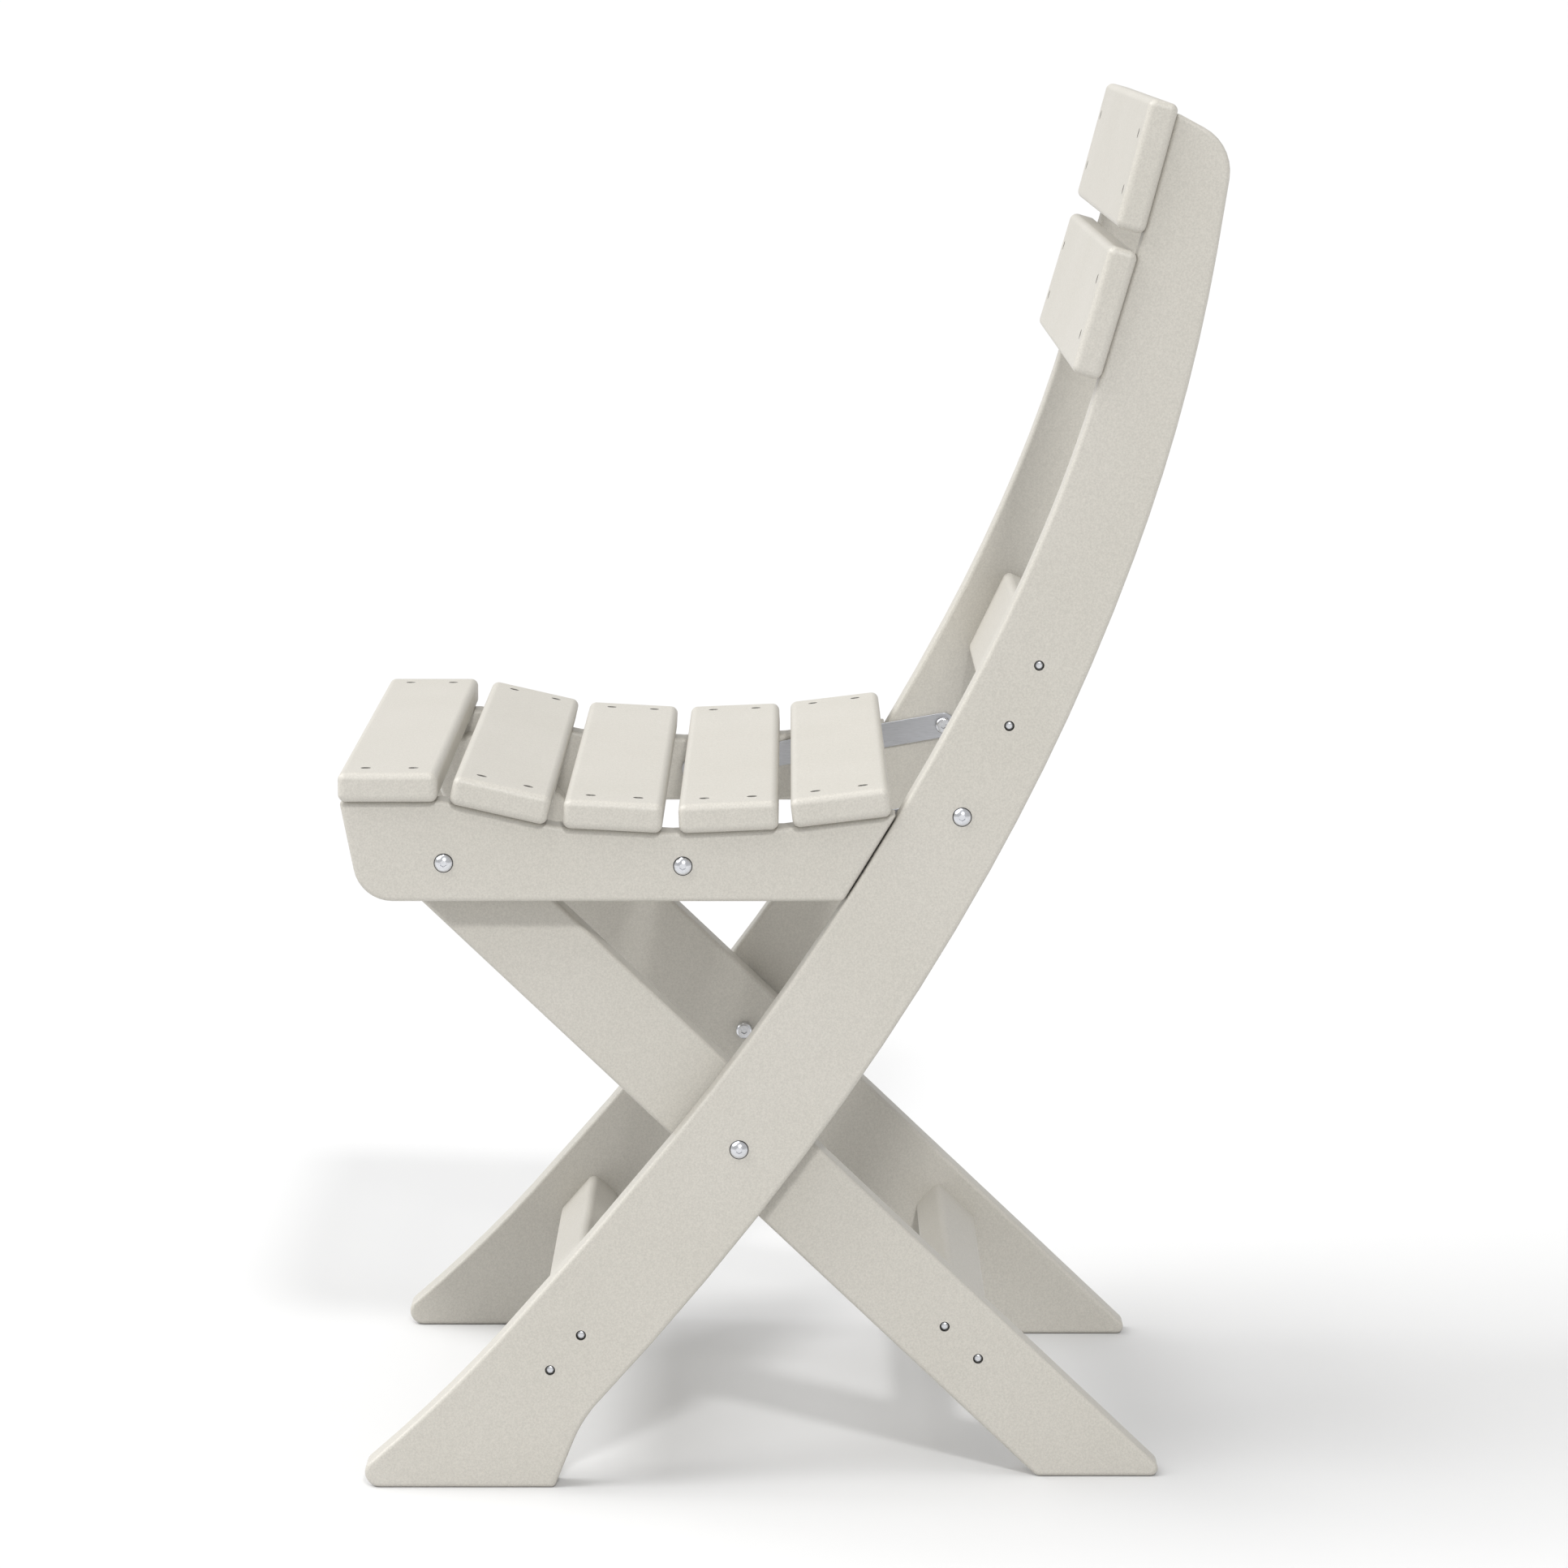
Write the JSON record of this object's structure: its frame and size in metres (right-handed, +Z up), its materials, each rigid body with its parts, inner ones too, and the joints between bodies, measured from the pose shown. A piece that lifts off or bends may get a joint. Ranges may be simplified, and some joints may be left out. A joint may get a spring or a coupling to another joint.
{
  "type": "folding chair",
  "caption": "Folding chair of flat lumber boards with curved uprights, crossed rear legs, a dished slat seat, a slatted back and steel link straps.",
  "frame": {"origin": "middle of the chair on the floor, at the bottom centre of its box when it stands open", "axes": "+Z up the chair's height, +X across the chair to a seated person's left, +Y from the seat's front to its back"},
  "size_m": [0.488, 0.5638, 0.8941],
  "materials": {
    "lumber": "warm grey-beige extruded plastic lumber with a fine speckle and a soft sheen",
    "bolts": "bare stainless domed bolts, nuts and washers",
    "screws": "stainless wood screws sunk below the surface",
    "strap": "satin flat bar with fine bright edges"
  },
  "bodies": {
    "back_frame": {"upright_left": "lumber", "upright_right": "lumber", "back_slat_upper": "lumber", "back_slat_lower": "lumber", "back_stretcher": "lumber", "front_foot_stretcher": "lumber", "back_slat_screws": "screws", "back_stretcher_screws": "screws", "front_stretcher_screws": "screws", "leg_pivot_bolts": "bolts", "leg_pivot_nuts": "bolts", "link_rear_bolts": "bolts", "link_rear_nuts": "bolts"},
    "link_straps": {"link_strap_left": "strap", "link_strap_right": "strap"},
    "seat": {"seat_rail_left": "lumber", "seat_rail_right": "lumber", "seat_slat_1": "lumber", "seat_slat_2": "lumber", "seat_slat_3": "lumber", "seat_slat_4": "lumber", "seat_slat_5": "lumber", "seat_slat_screws": "screws", "link_front_bolts": "bolts", "link_front_nuts": "bolts", "seat_pivot_bolts": "bolts"},
    "rear_leg_frame": {"rear_leg_left": "lumber", "rear_leg_right": "lumber", "rear_foot_stretcher": "lumber", "rear_stretcher_screws": "screws", "seat_pivot_studs": "bolts", "leg_pivot_washers": "bolts", "seat_pivot_washers": "bolts"}
  },
  "joints": [
    {"name": "strap_fold", "type": "hinge", "parent": "back_frame", "child": "link_straps", "pos_m": [0, 0.1157, 0.4397], "axis": [1, 0, 0], "range_deg": [-95, 0]},
    {"name": "seat_fold", "type": "hinge", "parent": "link_straps", "child": "seat", "pos_m": [0, -0.0624, 0.4081], "axis": [1, 0, 0], "range_deg": [0, 160.8]},
    {"name": "leg_fold", "type": "hinge", "parent": "back_frame", "child": "rear_leg_frame", "pos_m": [0, -0.0267, 0.2235], "axis": [1, 0, 0], "range_deg": [-58.9, 0]}
  ],
  "couplings": [
    {"joint": "strap_fold", "follows": "seat_fold", "ratio": -0.59079},
    {"joint": "leg_fold", "follows": "seat_fold", "ratio": -0.36629}
  ]
}
